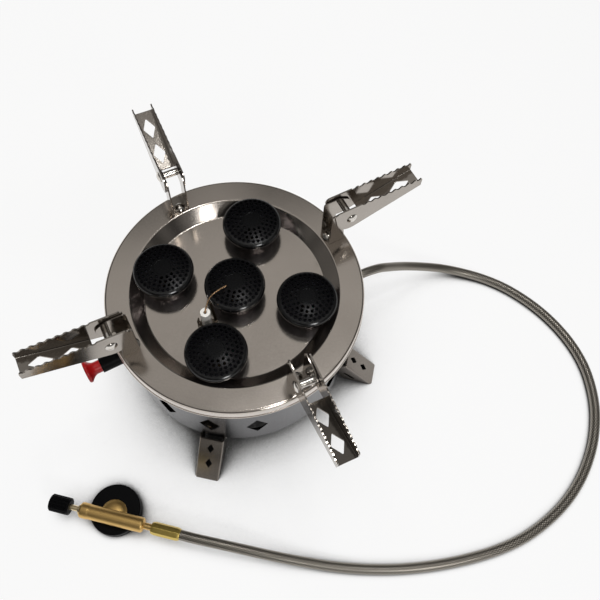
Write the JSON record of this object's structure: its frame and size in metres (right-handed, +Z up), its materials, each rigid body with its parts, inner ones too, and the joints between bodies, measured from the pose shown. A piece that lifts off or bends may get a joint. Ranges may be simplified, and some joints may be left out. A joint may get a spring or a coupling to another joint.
{
  "type": "portable gas stove",
  "caption": "Folding camping gas stove with several round burners in a steel tray and wind shield, swing-out pot arms, folding legs, push igniter and a hose to a canister valve",
  "frame": {"origin": "on the ground under the middle burner, at the centre of the stove's footprint", "axes": "+Z up; the legs point along X and Y, with the pot arms between them; the hose leaves towards +X and +Y"},
  "size_m": [0.409, 0.2817, 0.1455],
  "materials": {
    "tray_steel": "satin, warm grey",
    "shield_steel": "satin, darker grey",
    "pressed_steel": "satin",
    "rivet_steel": "bright",
    "cap_black": "black heat-proof enamel",
    "cup_black": "dark cast metal",
    "brass": "turned, slightly dull",
    "ferrule_brass": "crimped, greenish",
    "ceramic": "white glazed ceramic",
    "button_red": "moulded",
    "black_plastic": "moulded",
    "lead": "insulated lead",
    "hose": "braided cover",
    "seal": "nitrile"
  },
  "bodies": {
    "stove": {"rim_tray": "tray_steel", "wind_shield": "shield_steel", "base_plate": "pressed_steel", "leg_lugs": "pressed_steel", "lug_rivets": "rivet_steel", "burner_cup_1": "cup_black", "burner_cup_2": "cup_black", "burner_cup_3": "cup_black", "burner_cup_4": "cup_black", "burner_cup_5": "cup_black", "burner_cap_1": "cap_black", "burner_cap_2": "cap_black", "burner_cap_3": "cap_black", "burner_cap_4": "cap_black", "burner_cap_5": "cap_black", "cup_nuts": "pressed_steel", "gas_manifold": "brass", "gas_jets": "brass", "manifold_post": "pressed_steel", "inlet_union": "brass", "inlet_nut": "brass", "stove_ferrule": "ferrule_brass", "electrode_clip": "pressed_steel", "electrode_ceramic": "ceramic", "electrode_wire": "rivet_steel", "ignition_lead": "lead", "igniter_body": "black_plastic", "igniter_nut": "rivet_steel", "bracket_rivets": "rivet_steel", "leg_pins": "rivet_steel", "gas_hose": "hose", "valve_ferrule": "ferrule_brass", "valve_body": "brass", "gland_nut": "brass", "canister_collar": "black_plastic", "socket_seal": "seal"},
    "button": {"igniter_button": "button_red"},
    "knob": {"valve_spindle": "brass", "valve_knob": "black_plastic"},
    "bracket_1": {"arm_bracket_1": "pressed_steel", "arm_pin_1": "rivet_steel"},
    "arm_1_body": {"arm_1": "pressed_steel"},
    "bracket_2": {"arm_bracket_2": "pressed_steel", "arm_pin_2": "rivet_steel"},
    "arm_2_body": {"arm_2": "pressed_steel"},
    "bracket_3": {"arm_bracket_3": "pressed_steel", "arm_pin_3": "rivet_steel"},
    "arm_3_body": {"arm_3": "pressed_steel"},
    "bracket_4": {"arm_bracket_4": "pressed_steel", "arm_pin_4": "rivet_steel"},
    "arm_4_body": {"arm_4": "pressed_steel"},
    "leg_1_body": {"leg_1": "pressed_steel"},
    "leg_2_body": {"leg_2": "pressed_steel"},
    "leg_3_body": {"leg_3": "pressed_steel"},
    "leg_4_body": {"leg_4": "pressed_steel"}
  },
  "joints": [
    {"name": "arm_1_swivel", "type": "hinge", "parent": "stove", "child": "bracket_1", "pos_m": [0.05515, 0.05515, 0.1085], "axis": [0, 0, 1], "range_deg": [-7, 17]},
    {"name": "arm_1_fold", "type": "hinge", "parent": "bracket_1", "child": "arm_1_body", "pos_m": [0.06496, 0.06338, 0.1332], "axis": [0.6428, -0.766, 0], "range_deg": [0, 165]},
    {"name": "arm_2_swivel", "type": "hinge", "parent": "stove", "child": "bracket_2", "pos_m": [-0.05515, 0.05515, 0.1085], "axis": [0, 0, 1], "range_deg": [-3, 21]},
    {"name": "arm_2_fold", "type": "hinge", "parent": "bracket_2", "child": "arm_2_body", "pos_m": [-0.06268, 0.06551, 0.1332], "axis": [0.809, 0.5878, 0], "range_deg": [0, 165]},
    {"name": "arm_3_swivel", "type": "hinge", "parent": "stove", "child": "bracket_3", "pos_m": [-0.05515, -0.05515, 0.1085], "axis": [0, 0, 1], "range_deg": [-4, 20]},
    {"name": "arm_3_fold", "type": "hinge", "parent": "bracket_3", "child": "arm_3_body", "pos_m": [-0.06538, -0.06286, 0.1332], "axis": [-0.6018, 0.7986, 0], "range_deg": [0, 165]},
    {"name": "arm_4_swivel", "type": "hinge", "parent": "stove", "child": "bracket_4", "pos_m": [0.05515, -0.05515, 0.1085], "axis": [0, 0, 1], "range_deg": [-3.5, 20.5]},
    {"name": "arm_4_fold", "type": "hinge", "parent": "bracket_4", "child": "arm_4_body", "pos_m": [0.06277, -0.06544, 0.1332], "axis": [-0.8039, -0.5948, 0], "range_deg": [0, 165]},
    {"name": "leg_1_fold", "type": "hinge", "parent": "stove", "child": "leg_1_body", "pos_m": [0.08, 0, 0.022], "axis": [0, 1, 0], "range_deg": [0, 125]},
    {"name": "leg_2_fold", "type": "hinge", "parent": "stove", "child": "leg_2_body", "pos_m": [0, 0.08, 0.022], "axis": [-1, 0, 0], "range_deg": [0, 125]},
    {"name": "leg_3_fold", "type": "hinge", "parent": "stove", "child": "leg_3_body", "pos_m": [-0.08, 0, 0.022], "axis": [0, -1, 0], "range_deg": [0, 125]},
    {"name": "leg_4_fold", "type": "hinge", "parent": "stove", "child": "leg_4_body", "pos_m": [0, -0.08, 0.022], "axis": [1, 0, 0], "range_deg": [0, 125]},
    {"name": "button_slide", "type": "slide", "parent": "stove", "child": "button", "axis": [0.7604, 0.6494, 0], "range_m": [0, 0.0035], "stiffness_N_per_m": 800, "springref_m": -0.001},
    {"name": "knob_turn", "type": "hinge", "parent": "stove", "child": "knob", "pos_m": [-0.09, -0.15438, 0.0144], "axis": [-0.9997, 0.0262, 0], "range_deg": [0, 540]}
  ]
}
